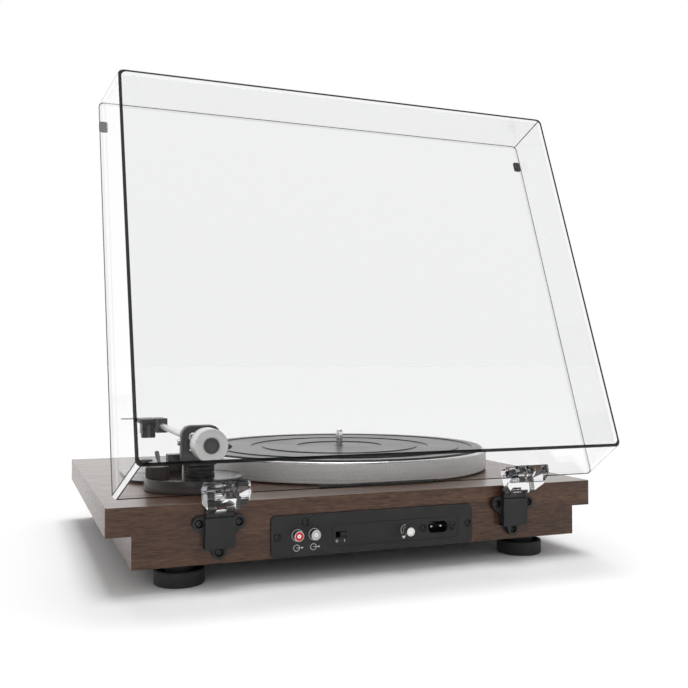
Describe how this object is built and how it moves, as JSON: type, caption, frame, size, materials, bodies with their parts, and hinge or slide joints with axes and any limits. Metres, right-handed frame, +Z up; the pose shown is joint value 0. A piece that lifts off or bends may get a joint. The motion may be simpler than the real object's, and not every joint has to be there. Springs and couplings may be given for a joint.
{
  "type": "turntable record player",
  "caption": "Belt-drive record player: flat wooden plinth on round feet, platter with mat, straight balanced tonearm, rear sockets and a hinged clear cover.",
  "frame": {"origin": "floor level under the middle of the outline with the cover open", "axes": "+X towards the tonearm's side (the listener's right), -Y to the front, +Y to the sockets at the rear, +Z up"},
  "size_m": [0.42, 0.4044, 0.4015],
  "materials": {
    "walnut": "satin veneer",
    "black_plastic": "fine matt texture",
    "black_rubber": "matt",
    "dark_grey": "satin dark grey",
    "satin_aluminium": "fine cast and turned satin",
    "chrome": "polished",
    "steel": "plain",
    "brass": "turned",
    "clear_acrylic": "clear, polished",
    "circuit_green": "solder mask",
    "red_plastic": "moulded",
    "white_plastic": "moulded"
  },
  "bodies": {
    "base": {"plinth_shell": "walnut", "bottom_cover": "black_plastic", "foot_rear_right": "black_rubber", "foot_rear_left": "black_rubber", "foot_front_left": "black_rubber", "foot_front_right": "black_rubber", "bearing_housing": "brass", "motor": "steel", "drive_belt": "black_rubber", "rear_panel": "black_plastic", "panel_screw_1": "black_plastic", "panel_screw_2": "black_plastic", "panel_screw_3": "black_plastic", "inlet_screw_1": "black_plastic", "inlet_screw_2": "black_plastic", "rca_socket_red": "red_plastic", "rca_socket_white": "white_plastic", "switch_housing": "black_plastic", "ground_post": "steel", "mains_inlet": "black_plastic", "circuit_board": "circuit_green", "hinge_holder_right": "black_plastic", "hinge_holder_left": "black_plastic", "hinge_pin_right": "steel", "hinge_pin_left": "steel", "tonearm_base": "dark_grey", "arm_pillar": "black_plastic", "arm_rest": "black_plastic"},
    "cover": {"dust_cover": "clear_acrylic", "hinge_bracket_right": "clear_acrylic", "hinge_bracket_left": "clear_acrylic", "cover_bumper_right": "black_rubber", "cover_bumper_left": "black_rubber", "rear_buffer": "black_rubber"},
    "platter": {"platter": "satin_aluminium", "platter_mat": "black_rubber", "spindle": "chrome"},
    "pulley": {"motor_pulley": "brass"},
    "yoke": {"arm_yoke": "dark_grey"},
    "arm": {"arm_hub": "dark_grey", "arm_tube": "satin_aluminium", "headshell": "dark_grey", "finger_lift": "satin_aluminium", "cartridge": "black_plastic", "stylus": "white_plastic"},
    "ring": {"tracking_ring": "satin_aluminium"},
    "weight": {"counterweight": "satin_aluminium", "counterweight_cap": "black_rubber"},
    "dial": {"anti_skate_dial": "black_plastic"},
    "lift": {"lift_platform": "black_plastic"},
    "lever": {"cue_lever": "black_plastic"},
    "clip": {"rest_clip": "black_plastic"},
    "knob": {"speed_knob": "satin_aluminium"},
    "button": {"start_button": "dark_grey"},
    "switch": {"switch_slider": "black_plastic"},
    "nut": {"ground_nut": "chrome"}
  },
  "joints": [
    {"name": "cover_hinge", "type": "hinge", "parent": "base", "child": "cover", "pos_m": [0, 0.14883, 0.0608], "axis": [1, 0, 0], "range_deg": [0, 69.5]},
    {"name": "platter_spin", "type": "hinge", "parent": "base", "child": "platter", "pos_m": [-0.041, -0.04167, 0.08], "axis": [0, 0, 1], "continuous": true},
    {"name": "pulley_spin", "type": "hinge", "parent": "base", "child": "pulley", "pos_m": [-0.121, 0.03333, 0.07], "axis": [0, 0, 1], "continuous": true},
    {"name": "arm_swing", "type": "hinge", "parent": "base", "child": "yoke", "pos_m": [0.126, 0.07032, 0.09], "axis": [0, 0, -1], "range_deg": [0, 47]},
    {"name": "arm_tilt", "type": "hinge", "parent": "yoke", "child": "arm", "pos_m": [0.126, 0.07032, 0.1034], "axis": [1, 0, 0], "range_deg": [-12, 0.6]},
    {"name": "weight_slide", "type": "slide", "parent": "arm", "child": "ring", "axis": [0, 1, 0], "range_m": [-0.004, 0.004]},
    {"name": "weight_turn", "type": "hinge", "parent": "ring", "child": "weight", "pos_m": [0.126, 0.10533, 0.1034], "axis": [0, 1, 0], "range_deg": [-720, 720]},
    {"name": "dial_turn", "type": "hinge", "parent": "base", "child": "dial", "pos_m": [0.161, 0.06932, 0.08], "axis": [0, 0, 1], "range_deg": [0, 300]},
    {"name": "lever_tilt", "type": "hinge", "parent": "base", "child": "lever", "pos_m": [0.1535, 0.03832, 0.079], "axis": [1, 0, 0], "range_deg": [0, 28]},
    {"name": "lift_slide", "type": "slide", "parent": "base", "child": "lift", "axis": [0, 0, 1], "range_m": [-0.005, 0]},
    {"name": "clip_swing", "type": "hinge", "parent": "base", "child": "clip", "pos_m": [0.1307, 0.02882, 0.1082], "axis": [0, -1, 0], "range_deg": [0, 92]},
    {"name": "speed_turn", "type": "hinge", "parent": "base", "child": "knob", "pos_m": [0.1, -0.14167, 0.066], "axis": [0, 0, 1], "range_deg": [0, 90]},
    {"name": "button_press", "type": "slide", "parent": "base", "child": "button", "axis": [0, 0, -1], "range_m": [0, 0.0012], "stiffness_N_per_m": 600},
    {"name": "switch_slide", "type": "slide", "parent": "base", "child": "switch", "axis": [1, 0, 0], "range_m": [0, 0.003]},
    {"name": "nut_turn", "type": "hinge", "parent": "base", "child": "nut", "pos_m": [-0.0276, 0.14833, 0.0327], "axis": [0, 1, 0], "range_deg": [0, 360]}
  ],
  "couplings": [
    {"joint": "pulley_spin", "follows": "platter_spin", "ratio": 11.667},
    {"joint": "weight_turn", "follows": "weight_slide", "rad_per_m": 3141},
    {"joint": "lift_slide", "follows": "lever_tilt", "m_per_rad": -0.01023}
  ]
}
